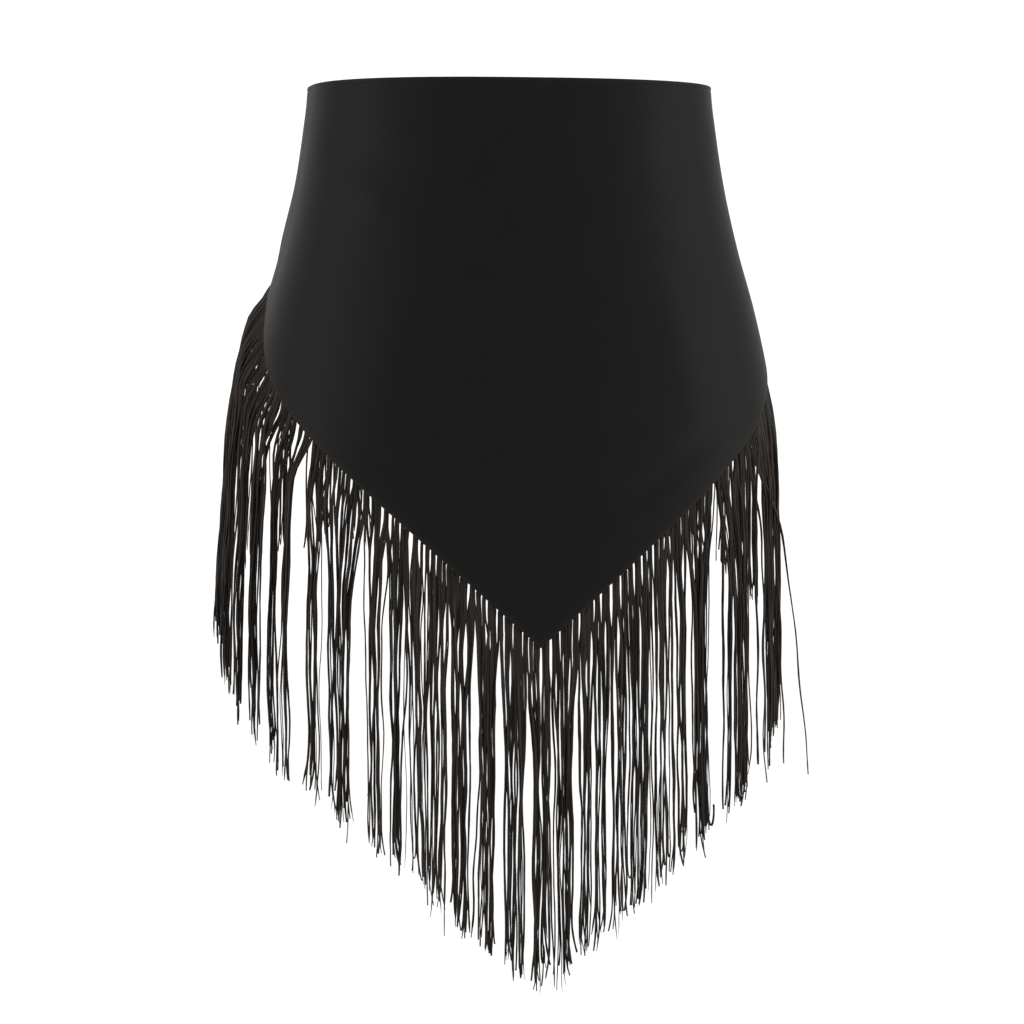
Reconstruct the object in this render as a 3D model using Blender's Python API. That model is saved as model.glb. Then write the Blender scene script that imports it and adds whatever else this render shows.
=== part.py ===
"""A wide fringe belt of black cloth, in the hollow shape that it has when worn.

The belt is a pointed front panel and two back panels. They meet at the side seams, and at the centre back the
left panel laps over the right one, on a strip of hook and loop tape. Behind the slanting hem runs a narrow
woven tape on each side, from the front point to the centre back, and the fringe hangs from it over the hips.

The frame: +Z is up, the front point faces -Y, and the origin is the middle of the waist at the top edge.
An angle of 0 is the centre front, 90 degrees is the wearer's left side (+X) and 180 degrees the centre back.
"""

import math
import random

import bpy
from mathutils import Vector

MM = 0.001
PROBE_TURN = 0.01  # radians, and millimetres of drop: small steps that measure how the figure slopes
PROBE_FALL = 1.0

# Driving sizes, in millimetres.
FRONT_DEPTH = 334.0  # top edge to the front point
BACK_DEPTH = 62.0  # the level that the hem nears towards the back, where it ends about 65 down
HEM_SLOPE = 0.895  # rise of the hem for each millimetre round the hips
HEM_EASE = 40.0  # how softly the slanting hem turns into the level back
CLOTH = 1.6  # thickness of the cloth wall
GAP = 0.3  # between neighbouring pieces

# The general figure that the worn cloth follows. Below its last row, cloth and fringe hang straight down.
FIGURE_COLUMNS = ("drop", "half_width", "front", "back")
FIGURE = (
    (0.0, 120.5, 91.5, 92.0),
    (26.0, 123.0, 93.5, 94.0),
    (62.0, 128.5, 97.5, 100.0),
    (98.0, 136.5, 102.5, 109.5),
    (134.0, 146.5, 106.0, 119.5),
    (170.0, 154.5, 107.5, 127.0),
    (206.0, 159.5, 108.0, 131.0),
    (242.0, 161.5, 108.0, 132.0),
)
ROUNDNESS = 2.5  # 2 is an ellipse, and more is squarer

# The lap at the centre back, with its hook and loop tape.
LAP_REACH = 12.0  # each back panel runs this far past the centre back
LAP_RAMP = 32.0  # length over which the upper panel rises on to the lower one
FASTENER = 1.0  # thickness of the hook tape and of the loop tape
FASTENER_TOP = 4.0
FASTENER_BOTTOM = 44.0
LAP_LIFT = CLOTH + 2.0 * FASTENER + 3.0 * GAP

# The fringe: a tape behind the hem, and the strands that it holds.
TAPE_HEIGHT = 12.0  # the tape's upper edge above the hem, measured straight down
TAPE_TUCK = 1.0  # its lower edge above the hem
TAPE_THICKNESS = 1.2
STRANDS_PER_SIDE = 120
STRAND_LENGTH = 200.0
STRAND_LENGTH_SPREAD = 8.0
STRAND_WIDTH_TOP = 1.9
STRAND_WIDTH_END = 1.3
STRAND_DEPTH = 1.2
STRAND_STEPS = (0.06, 0.28, 0.62, 1.0)  # rings below the root, as shares of the strand's length
STRAND_LIFT = -1.4  # once clear of the hem, the strands hang against the figure
LIFT_SHARE = 0.33  # share of a strand over which it settles from the tape to that lift
ROOT_SWEEP = 3.0  # a strand leaves the slanting hem square to it, and so starts this far up the slope
SWEEP_SHARE = 0.10  # share of a strand over which it turns to hang straight down
LOCK_SIZES = (3, 4, 4, 5, 6)  # strands that gather into one lock
LOCK_CLOSING = (0.30, 0.48)  # share by which a lock's strands close up at its end
LOCK_SWAY = 1.8
STRAND_JITTER = 0.7
SEED = 11

# How far the fringe stands off the figure at each hip, at the side, by drop.
FLARE_COLUMNS = ("drop", "right_hip", "left_hip")
FLARE = (
    (90.0, 0.0, 0.0),
    (135.0, 8.0, 0.5),
    (240.0, 9.5, 1.0),
    (320.0, 14.0, 2.0),
)
FLARE_EASE = 30.0  # a strand leaves the figure this gently below its root

FRONT_COLUMNS = 36
FRONT_ROWS = 9
BACK_COLUMNS = 10
RAMP_COLUMNS = 5
LAP_COLUMNS = 6
BACK_ROWS = 5
FASTENER_ROWS = 4

CLOTH_BLACK = (0.012, 0.0115, 0.011, 1.0)
FRINGE_BLACK = (0.010, 0.0095, 0.009, 1.0)
FASTENER_BLACK = (0.015, 0.015, 0.015, 1.0)


def smooth(share):
    """0 below 0, 1 above 1, and an even S between."""
    share = min(1.0, max(0.0, share))
    return share * share * (3.0 - 2.0 * share)


def spread(start, end, parts):
    return [start + (end - start) * i / parts for i in range(parts + 1)]


def from_table(rows, columns, column, drop):
    """A table's value at a drop, on a smooth curve through its rows, level beyond both ends."""
    index = columns.index(column)
    drops = [row[0] for row in rows]
    values = [row[index] for row in rows]
    last = len(rows) - 1
    if drop <= drops[0]:
        return values[0]
    if drop >= drops[last]:
        return values[last]

    def slope(k):
        if k in (0, last):
            return 0.0
        return (values[k + 1] - values[k - 1]) / (drops[k + 1] - drops[k - 1])

    k = max(i for i in range(last) if drops[i] <= drop)
    step = drops[k + 1] - drops[k]
    u = (drop - drops[k]) / step
    return (
        values[k] * (1.0 + 2.0 * u) * (1.0 - u) ** 2
        + values[k + 1] * u * u * (3.0 - 2.0 * u)
        + step * slope(k) * u * (1.0 - u) ** 2
        - step * slope(k + 1) * u * u * (1.0 - u)
    )


def section_radius(angle, drop):
    """Distance from the vertical axis to the figure: a rounded section with its own front and back depth."""
    facing = "front" if math.cos(angle) > 0.0 else "back"
    across = abs(math.sin(angle)) / from_table(FIGURE, FIGURE_COLUMNS, "half_width", drop)
    along = abs(math.cos(angle)) / from_table(FIGURE, FIGURE_COLUMNS, facing, drop)
    return (across**ROUNDNESS + along**ROUNDNESS) ** (-1.0 / ROUNDNESS)


def on_figure(angle, drop):
    radius = section_radius(angle, drop)
    return Vector((radius * math.sin(angle), -radius * math.cos(angle), -drop))


def place(angle, drop, lift=0.0):
    """A point of the worn shape, moved out by lift along the figure's normal."""
    around = on_figure(angle + PROBE_TURN, drop) - on_figure(angle - PROBE_TURN, drop)
    down = on_figure(angle, drop + PROBE_FALL) - on_figure(angle, max(0.0, drop - PROBE_FALL))
    return on_figure(angle, drop) + down.cross(around).normalized() * lift


def turn_of(length, angle, drop=0.0):
    """The angle that a length of cloth takes up round the figure."""
    return length / section_radius(angle, drop)


def hip_arc_table():
    """Length round the hips from the centre front to each whole degree, up to the centre back."""
    fullest = FIGURE[-1][0]
    lengths = [0.0]
    for degree in range(180):
        step = on_figure(math.radians(degree + 1), fullest) - on_figure(math.radians(degree), fullest)
        lengths.append(lengths[-1] + step.length)
    return lengths


HIP_ARC = hip_arc_table()


def arc_at(angle):
    degrees = abs(math.degrees(angle))
    degrees = min(degrees, 360.0 - degrees)
    k = min(179, int(degrees))
    return HIP_ARC[k] + (degrees - k) * (HIP_ARC[k + 1] - HIP_ARC[k])


def angle_at(length):
    k = max(i for i in range(180) if HIP_ARC[i] <= length)
    return math.radians(k + (length - HIP_ARC[k]) / (HIP_ARC[k + 1] - HIP_ARC[k]))


def hem_drop(angle):
    """Depth of the cloth at an angle: a straight slanting hem that eases into the level back."""
    full = FRONT_DEPTH - BACK_DEPTH
    over = full - HEM_SLOPE * arc_at(angle)
    eased = (over + math.hypot(over, HEM_EASE)) / (full + math.hypot(full, HEM_EASE))
    return BACK_DEPTH + full * eased


def hem_slant(angle):
    """1 where the hem has its full slope, and 0 where it is level."""
    near, far = angle - PROBE_TURN, angle + PROBE_TURN
    return (hem_drop(near) - hem_drop(far)) / (HEM_SLOPE * (arc_at(far) - arc_at(near)))


SIDE = math.pi / 2.0
SEAM = turn_of(GAP / 2.0, SIDE)
LAP_START = math.pi - turn_of(LAP_REACH, math.pi)
LAP_END = math.pi + turn_of(LAP_REACH, math.pi)
RAMP_START = LAP_START - turn_of(LAP_RAMP, math.pi)

FRONT_ANGLES = spread(-SIDE + SEAM, SIDE - SEAM, FRONT_COLUMNS)
RAMP_ANGLES = spread(RAMP_START, LAP_START, RAMP_COLUMNS)
LAP_ANGLES = spread(LAP_START, LAP_END, LAP_COLUMNS)
BACK_ANGLES = spread(SIDE + SEAM, RAMP_START, BACK_COLUMNS) + RAMP_ANGLES[1:] + LAP_ANGLES[1:]
HEM_ANGLES = FRONT_ANGLES[FRONT_COLUMNS // 2 :] + BACK_ANGLES


def level(angle):
    return 0.0


def lap_lift(angle):
    """How far the upper back panel, with the tape under it, stands out over the lower panel."""
    return LAP_LIFT * smooth((angle - RAMP_START) / (LAP_START - RAMP_START))


def panel_drops(rows):
    """The rows of a panel, as a function of the angle. The last row is as tall as the tape behind the hem."""

    def drops(angle):
        upper = hem_drop(angle) - TAPE_HEIGHT
        return spread(0.0, upper, rows - 1) + [hem_drop(angle)]

    return drops


def material(name, colour, roughness):
    made = bpy.data.materials.new(name)
    made.use_nodes = True
    shader = made.node_tree.nodes["Principled BSDF"]
    shader.inputs["Base Color"].default_value = colour
    shader.inputs["Roughness"].default_value = roughness
    shader.inputs["Metallic"].default_value = 0.0
    return made


def add_object(name, points, faces, side, finish):
    """A mesh object from points in millimetres. A side of -1 mirrors it to the wearer's right."""
    if side < 0:
        points = [Vector((-point.x, point.y, point.z)) for point in points]
        faces = [face[::-1] for face in faces]
    mesh = bpy.data.meshes.new(name)
    mesh.from_pydata([point * MM for point in points], [], faces)
    mesh.materials.append(finish)
    mesh.shade_smooth()
    mesh.set_sharp_from_angle(angle=math.radians(40.0))
    obj = bpy.data.objects.new(name, mesh)
    bpy.context.scene.collection.objects.link(obj)


def wall(name, angles, drops, lift, thickness, side, finish):
    """A wall of cloth over a grid of angles and drops, its outer face standing at lift above the figure."""
    points = []
    for depth in (0.0, thickness):
        for angle in angles:
            points.extend(place(angle, drop, lift(angle) - depth) for drop in drops(angle))

    columns = len(angles) - 1
    rows = len(drops(angles[0])) - 1
    inner = (columns + 1) * (rows + 1)

    def at(i, j):
        return i * (rows + 1) + j

    faces = []
    for i in range(columns):
        for j in range(rows):
            a, b, c, d = at(i, j), at(i, j + 1), at(i + 1, j + 1), at(i + 1, j)
            faces.append((a, b, c, d))
            faces.append((d + inner, c + inner, b + inner, a + inner))
    for i in range(columns):
        a, b = at(i, 0), at(i + 1, 0)
        faces.append((a, b, b + inner, a + inner))
        a, b = at(i, rows), at(i + 1, rows)
        faces.append((b, a, a + inner, b + inner))
    for j in range(rows):
        a, b = at(0, j), at(0, j + 1)
        faces.append((b, a, a + inner, b + inner))
        a, b = at(columns, j), at(columns, j + 1)
        faces.append((a, b, b + inner, a + inner))
    add_object(name, points, faces, side, finish)


def behind_hem(angle, above, depth, lift):
    """A point behind the hem, on the panel's own facets, so that the tape stays parallel to the wall."""
    k = max(i for i in range(len(HEM_ANGLES) - 1) if HEM_ANGLES[i] <= angle)
    ends = HEM_ANGLES[k], HEM_ANGLES[k + 1]
    corners = []
    for end in ends:
        stand = lift(end) - CLOTH - GAP - depth
        low = place(end, hem_drop(end), stand)
        high = place(end, hem_drop(end) - TAPE_HEIGHT, stand)
        corners.append(low.lerp(high, above / TAPE_HEIGHT))
    return corners[0].lerp(corners[1], (angle - ends[0]) / (ends[1] - ends[0]))


def gather_locks(count, pitch, dice):
    """For each strand, how far it has moved sideways at its end, as its lock closes up and sways."""
    moves = []
    while len(moves) < count:
        size = min(dice.choice(LOCK_SIZES), count - len(moves))
        closing = dice.uniform(*LOCK_CLOSING)
        sway = dice.uniform(-LOCK_SWAY, LOCK_SWAY)
        for k in range(size):
            from_middle = (k - (size - 1) / 2.0) * pitch
            moves.append(sway - closing * from_middle)
    return moves


def flare(angle, drop, root_drop, side):
    """How far a strand stands off the figure at a drop."""
    hip = "left_hip" if side > 0 else "right_hip"
    most = from_table(FLARE, FLARE_COLUMNS, hip, drop)
    return most * math.sin(angle) ** 2 * smooth((drop - root_drop) / FLARE_EASE)


def strand_rings(edges, move, length, jitter, lift, side):
    """The rings of a three-sided strand: its left, right and inner points, from the tape to its end."""
    middle = (edges[0] + edges[1]) / 2.0
    root_drop = hem_drop(middle) - TAPE_TUCK
    root_lift = lift(middle) - CLOTH - GAP
    sweep = ROOT_SWEEP * hem_slant(middle)
    rings = [
        [
            behind_hem(edges[0], TAPE_TUCK, 0.0, lift),
            behind_hem(edges[1], TAPE_TUCK, 0.0, lift),
            behind_hem(middle, TAPE_TUCK, TAPE_THICKNESS, lift),
        ]
    ]
    for step in STRAND_STEPS:
        drop = root_drop + step * length
        radius = section_radius(middle, drop)
        sideways = move * smooth(step) + sweep * smooth(step / SWEEP_SHARE)
        centre = middle + sideways / radius
        half = 0.5 * (STRAND_WIDTH_TOP + (STRAND_WIDTH_END - STRAND_WIDTH_TOP) * step) / radius
        settled = smooth(step / LIFT_SHARE)
        stand = root_lift + (STRAND_LIFT + jitter - root_lift) * settled
        stand += flare(middle, drop, root_drop, side)
        rings.append(
            [
                place(centre - half, drop, stand),
                place(centre + half, drop, stand),
                place(centre, drop, stand - STRAND_DEPTH),
            ]
        )
    return rings


def fringe(name, side, lift, finish):
    """One tape with its strands, from the front point to the centre back, as one closed body."""
    dice = random.Random(SEED + side)
    pitch = HIP_ARC[-1] / STRANDS_PER_SIDE
    moves = gather_locks(STRANDS_PER_SIDE, pitch, dice)
    points, faces, roots = [], [], []
    for i, move in enumerate(moves):
        middle = (i + 0.5) * pitch
        edges = [angle_at(middle - STRAND_WIDTH_TOP / 2.0), angle_at(middle + STRAND_WIDTH_TOP / 2.0)]
        if i == 0:
            edges[0] = turn_of(GAP / 2.0, 0.0, FRONT_DEPTH)
        if i == STRANDS_PER_SIDE - 1:
            edges[1] = math.pi - turn_of(GAP / 2.0, math.pi, BACK_DEPTH)
        length = STRAND_LENGTH + dice.uniform(-STRAND_LENGTH_SPREAD, STRAND_LENGTH_SPREAD)
        jitter = STRAND_JITTER * (1 if i % 2 else -1)
        base = len(points)
        rings = strand_rings(edges, move, length, jitter, lift, side)
        for ring in rings:
            points.extend(ring)
        for k in range(len(rings) - 1):
            upper = base + 3 * k
            for a, b in ((0, 1), (1, 2), (2, 0)):
                faces.append((upper + a, upper + 3 + a, upper + 3 + b, upper + b))
        faces.append((len(points) - 3, len(points) - 1, len(points) - 2))

        top = len(points)
        points.append(behind_hem(edges[0], TAPE_HEIGHT, 0.0, lift))
        points.append(behind_hem(edges[1], TAPE_HEIGHT, 0.0, lift))
        points.append(behind_hem((edges[0] + edges[1]) / 2.0, TAPE_HEIGHT, TAPE_THICKNESS, lift))
        roots.append((base, base + 1, base + 2, top, top + 1, top + 2))

    for left, right, _, top_left, top_right, top_inner in roots:
        faces.append((top_left, left, right, top_right))
        faces.append((top_left, top_right, top_inner))
    for near, far in zip(roots, roots[1:]):
        _, right, inner, _, top_right, top_inner = near
        left, _, far_inner, top_left, _, far_top_inner = far
        faces.append((top_right, right, left, top_left))
        faces.append((inner, top_inner, far_top_inner, far_inner))
        faces.append((top_right, top_left, far_top_inner, top_inner))
        faces.append((right, inner, far_inner, left))
    left, _, inner, top_left, _, top_inner = roots[0]
    faces.append((left, top_left, top_inner, inner))
    _, right, inner, _, top_right, top_inner = roots[-1]
    faces.append((right, inner, top_inner, top_right))
    add_object(name, points, faces, side, finish)


def fastener(name, outer_lift, side, finish):
    """A strip of hook or loop tape in the lap, on the lap's own columns."""

    def lift(angle):
        return outer_lift

    def drops(angle):
        return spread(FASTENER_TOP, FASTENER_BOTTOM, FASTENER_ROWS)

    wall(name, LAP_ANGLES[1:-1], drops, lift, FASTENER, side, finish)


def build():
    for obj in list(bpy.data.objects):
        bpy.data.objects.remove(obj, do_unlink=True)
    cloth = material("belt_cloth", CLOTH_BLACK, 0.85)
    thread = material("fringe_thread", FRINGE_BLACK, 0.55)
    hook_and_loop = material("hook_and_loop", FASTENER_BLACK, 0.95)

    wall("front_panel", FRONT_ANGLES, panel_drops(FRONT_ROWS), level, CLOTH, 1, cloth)
    wall("back_left_panel", BACK_ANGLES, panel_drops(BACK_ROWS), lap_lift, CLOTH, 1, cloth)
    wall("back_right_panel", BACK_ANGLES, panel_drops(BACK_ROWS), level, CLOTH, -1, cloth)
    fastener("loop_tape", LAP_LIFT - CLOTH - GAP, 1, hook_and_loop)
    fastener("hook_tape", GAP + FASTENER, -1, hook_and_loop)
    fringe("fringe_left", 1, lap_lift, thread)
    fringe("fringe_right", -1, level, thread)


build()
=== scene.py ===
"""The looks of a fringed hip belt: fine cloth shells, a fringe made cord by cord, and studio light.

Lengths are in millimetres until add_mesh scales them. A point of the belt is an angle round the waist (0 is the
centre front, 90 degrees the wearer's left), a drop below the top edge and a lift off the figure.
"""

import math

import bpy
import numpy as np
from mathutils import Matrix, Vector


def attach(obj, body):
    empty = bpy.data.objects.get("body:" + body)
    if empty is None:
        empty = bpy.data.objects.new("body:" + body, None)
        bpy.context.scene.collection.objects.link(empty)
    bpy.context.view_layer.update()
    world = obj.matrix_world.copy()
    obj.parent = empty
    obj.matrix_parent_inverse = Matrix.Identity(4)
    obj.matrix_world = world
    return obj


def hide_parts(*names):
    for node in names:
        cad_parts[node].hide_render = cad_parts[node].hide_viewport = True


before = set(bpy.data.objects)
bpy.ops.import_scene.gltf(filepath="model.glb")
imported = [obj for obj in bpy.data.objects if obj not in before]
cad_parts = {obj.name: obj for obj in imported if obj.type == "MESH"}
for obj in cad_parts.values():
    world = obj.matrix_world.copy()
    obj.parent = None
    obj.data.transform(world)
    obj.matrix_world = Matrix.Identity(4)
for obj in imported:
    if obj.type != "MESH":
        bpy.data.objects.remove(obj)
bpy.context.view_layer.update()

MM = 0.001
FULL_TURN = 2.0 * math.pi
SEED = 27

# Small steps, round and down, that measure how the figure slopes: in radians and in millimetres.
PROBE_TURN = 0.01
PROBE_FALL = 1.0

# The worn form, as the solids have it. Below the last row everything hangs straight down.
FIGURE_COLUMNS = ("drop", "half_width", "front", "back")
FIGURE = np.array((
    (0.0, 120.5, 91.5, 92.0),
    (26.0, 123.0, 93.5, 94.0),
    (62.0, 128.5, 97.5, 100.0),
    (98.0, 136.5, 102.5, 109.5),
    (134.0, 146.5, 106.0, 119.5),
    (170.0, 154.5, 107.5, 127.0),
    (206.0, 159.5, 108.0, 131.0),
    (242.0, 161.5, 108.0, 132.0),
))
ROUNDNESS = 2.5  # of the level sections: 2 makes ellipses, and more squares them off

# The cloth: its depth at the front point and at the back, how steeply the hem slants along the hips between
# them and how gently it levels out, its thickness, and the lap, where the upper back panel ramps out over the
# lower one.
FRONT_DEPTH = 334.0
BACK_DEPTH = 62.0
HEM_SLOPE = 0.895
HEM_EASE = 40.0
HEM_POINTS = 2401  # at which the length along half the hem is measured
CLOTH = 1.6
LAP_REACH = 12.0
LAP_RAMP = 32.0
LAP_LIFT = 4.5

# How far the fringe stands off the figure at each hip, at the side, by drop.
FLARE_COLUMNS = ("drop", "right_hip", "left_hip")
FLARE = np.array((
    (90.0, 0.0, 0.0),
    (135.0, 8.0, 0.5),
    (240.0, 9.5, 1.0),
    (320.0, 14.0, 2.0),
))
FLARE_EASE = 30.0  # a cord takes up the flare over this drop below the hem
FLARE_VARIES = 0.22  # share by which cords differ in it, times a value from FLARE_SPAN
FLARE_SPAN = (-1.0, 0.6)

# The cloth's edges: rolled over half its thickness, with a pressed line below the top edge, where the cloth is
# turned in by TURNED_DEPTH. The turning shows as a step on the inside.
ROLL = CLOTH / 2.0
ROLL_STEPS = (0.0, 0.06, 0.22, 0.47, 0.8)
PRESSED_AT = 2.6
PRESSED_WIDTH = 0.55
PRESSED_DEPTH = 0.3
TURNED_DEPTH = 10.0
TURNED_THICKNESS = 0.5
TURNED_STEP = 0.8
TURNED_FROM = 2.0
SIDES_FADE = 2.0  # the pressed line and the turning fade out this close to a panel's sides
RUB_REACH = 1.6  # how far from an edge the nap is rubbed
ON_EDGE = 1e-6  # closer than this, a point lies on the edge itself

# The grids of the panels: close lines near the top, the hem and the sides, and even ones between.
TOP_STEPS = ROLL_STEPS + (1.2, 1.6, 2.0, 2.3, 2.6, 2.9, 3.3, 3.8, 4.8, 6.4, 8.4, 9.4, 9.8, 10.2, 10.6, 11.6)
HEM_STEPS = ROLL_STEPS + (1.3, 2.2, 3.6, 6.0)
SIDE_STEPS = ROLL_STEPS + (1.4, 2.6)
GRID_STEP = 3.0
POINT_COLUMNS = (-0.8, 0.0, 0.8)  # the lines at the front point
POINT_CLEAR = 0.4  # of a grid step, that the other lines keep from the point
SEAM_CLOSE = 0.1  # neighbouring panels meet this far past the seam line, at the bottom of its groove

# Soft folds: from one angle and drop to another, with how wide and how high (or deep, if negative) each is.
# They fade out towards the edges, so that the tape behind the hem lies flat.
FOLDS_FROM = 9.0
FOLDS_EASE = 16.0
FOLD_COLUMNS = ("angle_from", "drop_from", "angle_to", "drop_to", "width", "height")
FOLDS = np.array((
    (-64.0, 204.0, -22.0, 280.0, 16.0, -1.50),
    (-56.0, 228.0, -18.0, 300.0, 12.0, 1.10),
    (63.0, 200.0, 24.0, 262.0, 15.0, -1.70),
    (54.0, 226.0, 14.0, 286.0, 12.0, 1.30),
    (-71.0, 34.0, -38.0, 52.0, 13.0, -1.00),
    (-66.0, 62.0, -44.0, 74.0, 10.0, 0.70),
    (68.0, 30.0, 41.0, 46.0, 12.0, -0.90),
    (-40.0, 120.0, -47.0, 226.0, 17.0, 1.10),
    (-28.0, 96.0, -31.0, 188.0, 15.0, -0.60),
    (38.0, 118.0, 46.0, 206.0, 16.0, 1.00),
    (3.0, 20.0, -2.0, 118.0, 24.0, 0.80),
    (112.0, 30.0, 132.0, 62.0, 12.0, -1.10),
    (137.0, 18.0, 150.0, 54.0, 10.0, 0.85),
    (160.0, 12.0, 151.0, 50.0, 9.0, -0.70),
    (-109.0, 34.0, -128.0, 70.0, 12.0, -1.10),
    (-140.0, 14.0, -151.0, 50.0, 9.0, 0.85),
    (-96.0, 60.0, -101.0, 128.0, 13.0, 0.90),
    (97.0, 46.0, 103.0, 112.0, 12.0, 0.80),
))
FOLD_START = 0.7  # a fold's width at its start, against the table's
FOLD_GAIN = 0.5  # what its width gains towards its end
FOLD_OVERRUN = 0.15  # share of its length that it runs on past both ends
FOLD_FADE_IN = 0.5  # shares of its length over which its height comes and goes
FOLD_FADE_OUT = 0.45

# The woven tape that holds the fringe, behind the hem: its rows of chain stitches stand out by TAPE_RELIEF, and
# this varies by the share STITCH_WAVE along each row.
TAPE_GAP = 0.3
TAPE_TOP = 12.0
TAPE_BOTTOM = 1.0
TAPE_THICKNESS = 1.2
TAPE_ROLL = 0.35
TAPE_CHAINS = 4
TAPE_RELIEF = 0.22
STITCH_WAVE = 0.25
TAPE_FADE = 0.6  # the stitches fade out this close to the edges
TAPE_INSET = 0.2  # how far the tape stops short of the centre front and the centre back
TAPE_STEPS = (0.0, 0.08, 0.2, 0.35)
TAPE_GRID = 0.8

# The fringe's cords. They sit closest together near the front point: closer by the share CROWDING, over about
# the length CROWDED_TO of the hem. CORD_PITCH is their average distance.
CORD_PITCH = 1.56
CROWDING = 0.38
CROWDED_TO = 150.0
ROOT_SCATTER = 0.15  # how far a cord may be from its place among the others
CORD_LENGTH = 200.0
LENGTH_SPREAD = 4.0
SHORT_SHARE = 0.08  # of the cords are shorter, by SHORT_BY
SHORT_BY = (8.0, 26.0)
WANDER_SHARE = 0.07  # of the cords hang off to one side, by about WANDER at their ends
WANDER = 5.0
WANDER_POWER = 1.3

# The rings of points along a cord: places near its root, distances from its end, and the step between these.
ROOT_STEPS = (-2.6, -1.0, 0.4, 1.4, 2.8, 5.0, 8.0, 11.5)
END_STEPS = (16.0, 13.5, 11.0, 9.0, 7.0, 5.2, 3.5, 2.0, 0.8, 0.0)
CORD_STEP = 6.0
CORD_SIDES = 6

# How thick the cords are.
CORD_WIDTHS = (1.4, 2.4)
CORD_FLATNESS = 0.72
THIN_SHARE = 0.20  # of the cords are thinner, by THIN_WIDTH
THIN_WIDTH = 0.62
CORD_THINNING = 0.38  # share of its width that a cord loses downwards, where its threads hang tight
THINNED_AT = 0.8  # share of its length at which it has lost this
RIPPLE = 0.07  # share by which the width varies along a cord
RIPPLE_PERIODS = (9.0, 17.0)
FINE_SHARE = 0.4  # of the cords end fine, and the others nearly blunt
FINE_LOSS = 0.55
BLUNT_LOSS = 0.10
END_TAPERS = (3.0, 12.0)
ROOT_WIDTH = 1.2  # at most, inside the tape
SPIN_TURNS = (-1.6, 1.6)  # how often a cord turns about itself

# How the cords leave the tape: square to the hem, then down, and forward out of the tape into two layers.
BEND_ABOVE = 2.2  # how far above the hem's edge a cord starts to bend
SWEEP_EASE = 1.3  # about how long the bend is
TIP_EASE = 9.0  # cords this near the front point hang straight from it
ROOT_DEPTH = 0.1  # behind the tape's middle
CORD_LIFT = -1.4  # where they hang, from the figure's surface
LAYER_SPAN = (-0.9, 0.7)
LAYER_STEP = 0.45
SETTLE = 62.0  # the length over which they come out to it

# At the hem the cords stand in tufts with slits between them: how wide the tufts are, how far their cords are
# drawn together, how much less that is where the cords are crowded, how far down they hold, and over what
# length they part again.
TUFT_WIDTHS = (1.4, 7.2)
TUFT_CLOSING = (0.12, 0.80)
TUFT_CROWDED = 0.34
TUFT_HOLD = (2.0, 14.0)
TUFT_RELEASE = (8.0, 34.0)

# Below the tufts they hang in wisps: how many cords each has, how far these are drawn together, from where
# below the hem, and over what length.
WISP_SIZES = (1, 1, 2, 2, 3, 4)
WISP_CLOSING = (0.25, 1.0)
WISP_BEGIN = (2.0, 18.0)
WISP_REACH = (6.0, 28.0)

# Where the cords gather into locks: all up to a length round the hips draw towards a middle by a share, over
# a reach down from the hem. Past the last row, at the back, the locks are like these but fall by chance.
LOCK_COLUMNS = ("until", "middle", "closing", "reach")
RIGHT_LOCKS = (
    (8.5, 1.5, 0.60, 80.0),
    (14.5, 11.1, 0.34, 90.0),
    (24.0, 20.0, 0.28, 90.0),
    (38.8, 33.0, 0.42, 80.0),
    (53.4, 46.4, 0.36, 90.0),
    (65.0, 59.0, 0.20, 90.0),
    (80.4, 72.0, 0.24, 90.0),
    (88.7, 84.5, 0.38, 80.0),
    (103.0, 98.5, 0.44, 66.0),
    (127.0, 117.0, 0.52, 66.0),
    (138.0, 132.0, 0.42, 60.0),
    (150.0, 149.0, 0.72, 34.0),
    (163.0, 158.0, 0.82, 45.0),
    (180.0, 173.0, 0.82, 45.0),
    (197.0, 188.0, 0.86, 50.0),
    (228.0, 210.0, 0.88, 60.0),
    (262.0, 245.0, 0.86, 60.0),
)
LEFT_LOCKS = (
    (6.7, 2.5, 0.55, 80.0),
    (21.5, 13.0, 0.52, 90.0),
    (30.5, 28.0, 0.26, 90.0),
    (41.0, 37.5, 0.28, 90.0),
    (52.0, 46.4, 0.22, 90.0),
    (67.0, 59.5, 0.18, 80.0),
    (79.0, 74.0, 0.12, 80.0),
    (90.0, 86.0, 0.18, 80.0),
    (111.0, 99.5, 0.54, 66.0),
    (121.0, 122.0, 0.80, 36.0),
    (143.0, 133.0, 0.56, 70.0),
    (166.0, 162.0, 0.88, 36.0),
    (178.0, 168.0, 0.84, 50.0),
    (196.0, 184.0, 0.90, 44.0),
    (218.0, 203.0, 0.92, 44.0),
    (252.0, 237.0, 0.90, 60.0),
)

# What chance decides in the locks: all about those at the back, and everywhere how late they begin, how closely
# they hold their cords and how they sway.
BACK_SIZES = (6, 8, 9, 11, 13)
BACK_CLOSING = (0.60, 0.86)
BACK_REACH = (44.0, 90.0)
LOCK_LATE = (-0.12, 0.2)  # as shares of the reach
CORD_LATE = (-3.0, 5.0)
REACH_VARIES = (0.85, 1.2)
LOOSE_SHARE = 0.14  # of the cords hang beside their lock, drawn in less than those that it holds
LOOSE_CLOSING = (0.25, 0.8)
HELD_CLOSING = (0.9, 1.06)
LOCK_SWAY = 0.8
LOCK_BEND = 0.6
SWAY_POWER = 1.4

# The cords' own small waves: their lengths, their height, and whether the cords of a wisp share them.
SWAYS = (
    ((70.0, 130.0), 0.42, True),
    ((34.0, 60.0), 0.20, True),
    ((60.0, 110.0), 0.18, False),
    ((14.0, 24.0), 0.05, False),
)
SWAY_VARIES = (0.3, 1.5)
FREE_AFTER = 40.0  # the waves grow over this length from the hem

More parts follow.
